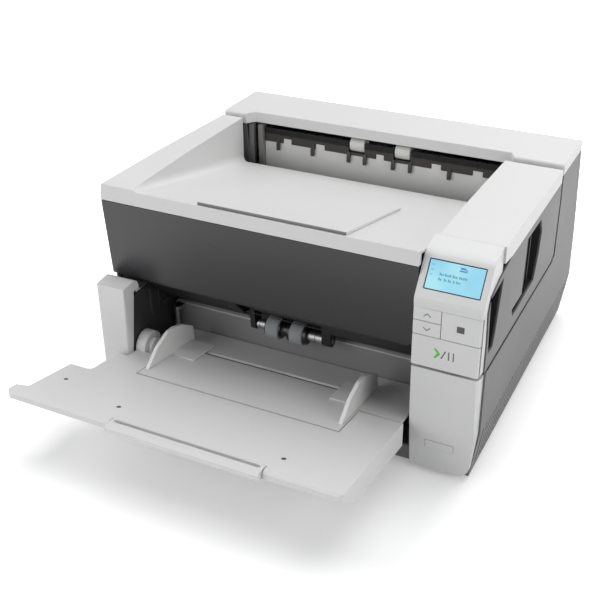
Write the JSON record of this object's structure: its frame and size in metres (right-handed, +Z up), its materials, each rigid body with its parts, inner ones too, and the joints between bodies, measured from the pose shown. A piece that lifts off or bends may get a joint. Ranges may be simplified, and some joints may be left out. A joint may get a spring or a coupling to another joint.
{
  "type": "document scanner",
  "caption": "Desktop sheet-fed document scanner with a folding input tray, sliding side guides, a hinged upper cover with control keys, and an output recess.",
  "frame": {"origin": "on the floor under the middle of the whole object's box, input tray open", "axes": "+X to the right seen from the front, +Y to the rear, +Z up"},
  "size_m": [0.452, 0.557, 0.2562],
  "materials": {
    "light_shell": "fine satin moulded plastic, warm light grey",
    "white_shell": "fine satin moulded plastic, off-white",
    "charcoal_panel": "smooth satin charcoal plastic",
    "grey_side": "textured mid-grey plastic",
    "black_frame": "matt black moulded frame",
    "dark_comb": "dark satin moulded plastic",
    "pale_guide": "pale grey moulded plastic",
    "key_plastic": "satin off-white keys",
    "roller_rubber": "grey feed rubber with fine grip lines",
    "foot_rubber": "black rubber",
    "steel": "brushed steel",
    "clear_glass": "clear scan glass",
    "lcd_glass": "backlit pale blue display",
    "board": "green circuit board",
    "metal_case": "plain aluminium"
  },
  "bodies": {
    "base": {"base_housing": "grey_side", "vent_panel": "grey_side", "left_pillar": "white_shell", "right_column": "white_shell", "throat_liner": "black_frame", "throat_wall": "pale_guide", "elevator_rails": "steel", "lower_guide": "pale_guide", "lower_glass": "clear_glass", "lower_camera": "black_frame", "roller_bearings": "black_frame", "drive_motor": "metal_case", "fan_frame": "black_frame", "power_supply": "metal_case", "main_board": "board", "power_inlet": "black_frame", "data_port": "metal_case", "rubber_feet": "foot_rubber", "rear_cap": "light_shell", "exit_comb": "dark_comb", "exit_backplate": "pale_guide", "exit_bracket": "dark_comb", "exit_bearings": "black_frame", "hinge_arms": "steel"},
    "cover": {"cover_shell": "light_shell", "cover_front_panel": "charcoal_panel", "cover_side_left": "grey_side", "cover_side_right": "grey_side", "side_slot_liner": "black_frame", "cover_underframe": "black_frame", "upper_glass": "clear_glass", "upper_camera": "black_frame", "cover_bearings": "black_frame", "control_bezel": "white_shell", "lcd_window": "lcd_glass", "lcd_module": "black_frame"},
    "elevator": {"elevator_platform": "light_shell", "pinion_post": "black_frame"},
    "tray": {"input_tray": "light_shell"},
    "tray_extension": {"tray_extension": "light_shell"},
    "guide_left": {"guide_left": "white_shell"},
    "guide_right": {"guide_right": "white_shell"},
    "guide_pinion": {"guide_pinion": "pale_guide"},
    "output_extension": {"output_extension": "light_shell"},
    "feed_roller": {"feed_roller": "roller_rubber"},
    "upper_transport_roller": {"upper_transport_roller": "roller_rubber"},
    "separation_roller": {"separation_roller": "roller_rubber"},
    "lower_transport_roller": {"lower_transport_roller": "roller_rubber"},
    "drive_pulley": {"drive_pulley": "steel"},
    "fan_rotor": {"fan_rotor": "black_frame"},
    "exit_roller": {"exit_roller": "roller_rubber"},
    "rear_door": {"rear_door": "grey_side"},
    "power_button": {"power_button": "key_plastic"},
    "key_up": {"key_up": "key_plastic"},
    "key_down": {"key_down": "key_plastic"},
    "key_stop": {"key_stop": "key_plastic"},
    "key_start": {"key_start": "key_plastic"}
  },
  "joints": [
    {"name": "cover_hinge", "type": "hinge", "parent": "base", "child": "cover", "pos_m": [0.01, 0.1505, 0.243], "axis": [-1, 0, 0], "range_deg": [0, 50]},
    {"name": "elevator_lift", "type": "slide", "parent": "base", "child": "elevator", "axis": [0, 0, 1], "range_m": [-0.015, 0.025]},
    {"name": "tray_fold", "type": "hinge", "parent": "elevator", "child": "tray", "pos_m": [-0.016, -0.1445, 0.06197], "axis": [-1, 0, 0], "range_deg": [0, 81.6]},
    {"name": "tray_extension_slide", "type": "slide", "parent": "tray", "child": "tray_extension", "axis": [0, -0.9893, 0.1459], "range_m": [0, 0.06]},
    {"name": "guide_left_slide", "type": "slide", "parent": "elevator", "child": "guide_left", "axis": [1, 0, 0], "range_m": [-0.018, 0.065]},
    {"name": "guide_right_slide", "type": "slide", "parent": "elevator", "child": "guide_right", "axis": [1, 0, 0], "range_m": [-0.065, 0.018]},
    {"name": "guide_pinion_spin", "type": "hinge", "parent": "elevator", "child": "guide_pinion", "pos_m": [-0.016, -0.0865, 0.05241], "axis": [0, 0, 1], "range_deg": [-95, 320]},
    {"name": "output_extension_slide", "type": "slide", "parent": "cover", "child": "output_extension", "axis": [0, -0.9735, 0.2288], "range_m": [0, 0.09]},
    {"name": "rear_door_hinge", "type": "hinge", "parent": "base", "child": "rear_door", "pos_m": [0.01, 0.25929, 0.153], "axis": [-1, 0, 0], "range_deg": [0, 60]},
    {"name": "feed_roller_spin", "type": "hinge", "parent": "cover", "child": "feed_roller", "pos_m": [-0.016, -0.0525, 0.0955], "axis": [1, 0, 0], "continuous": true},
    {"name": "upper_transport_spin", "type": "hinge", "parent": "cover", "child": "upper_transport_roller", "pos_m": [-0.016, 0.0215, 0.1014], "axis": [1, 0, 0], "continuous": true},
    {"name": "separation_spin", "type": "hinge", "parent": "base", "child": "separation_roller", "pos_m": [-0.016, -0.014, 0.07689], "axis": [1, 0, 0], "continuous": true},
    {"name": "lower_transport_spin", "type": "hinge", "parent": "base", "child": "lower_transport_roller", "pos_m": [-0.016, 0.0215, 0.081], "axis": [1, 0, 0], "continuous": true},
    {"name": "drive_pulley_spin", "type": "hinge", "parent": "base", "child": "drive_pulley", "pos_m": [0.157, 0.0515, 0.048], "axis": [1, 0, 0], "continuous": true},
    {"name": "fan_spin", "type": "hinge", "parent": "base", "child": "fan_rotor", "pos_m": [0.203, -0.0325, 0.036], "axis": [1, 0, 0], "continuous": true},
    {"name": "exit_roller_spin", "type": "hinge", "parent": "base", "child": "exit_roller", "pos_m": [-0.016, 0.177, 0.2305], "axis": [1, 0, 0], "continuous": true},
    {"name": "power_button_press", "type": "slide", "parent": "base", "child": "power_button", "axis": [0, 1, 0], "range_m": [0, 0.001], "stiffness_N_per_m": 500},
    {"name": "key_up_press", "type": "slide", "parent": "cover", "child": "key_up", "axis": [0, 1, 0], "range_m": [0, 0.0008], "stiffness_N_per_m": 500},
    {"name": "key_down_press", "type": "slide", "parent": "cover", "child": "key_down", "axis": [0, 1, 0], "range_m": [0, 0.0008], "stiffness_N_per_m": 500},
    {"name": "key_stop_press", "type": "slide", "parent": "cover", "child": "key_stop", "axis": [0, 1, 0], "range_m": [0, 0.0008], "stiffness_N_per_m": 500},
    {"name": "key_start_press", "type": "slide", "parent": "cover", "child": "key_start", "axis": [0, 1, 0], "range_m": [0, 0.0008], "stiffness_N_per_m": 500}
  ],
  "couplings": [
    {"joint": "guide_right_slide", "follows": "guide_left_slide", "ratio": -1},
    {"joint": "guide_pinion_spin", "follows": "guide_left_slide", "rad_per_m": 83.333},
    {"joint": "drive_pulley_spin", "follows": "lower_transport_spin", "ratio": 1.25},
    {"joint": "exit_roller_spin", "follows": "lower_transport_spin", "ratio": 1.1111}
  ]
}
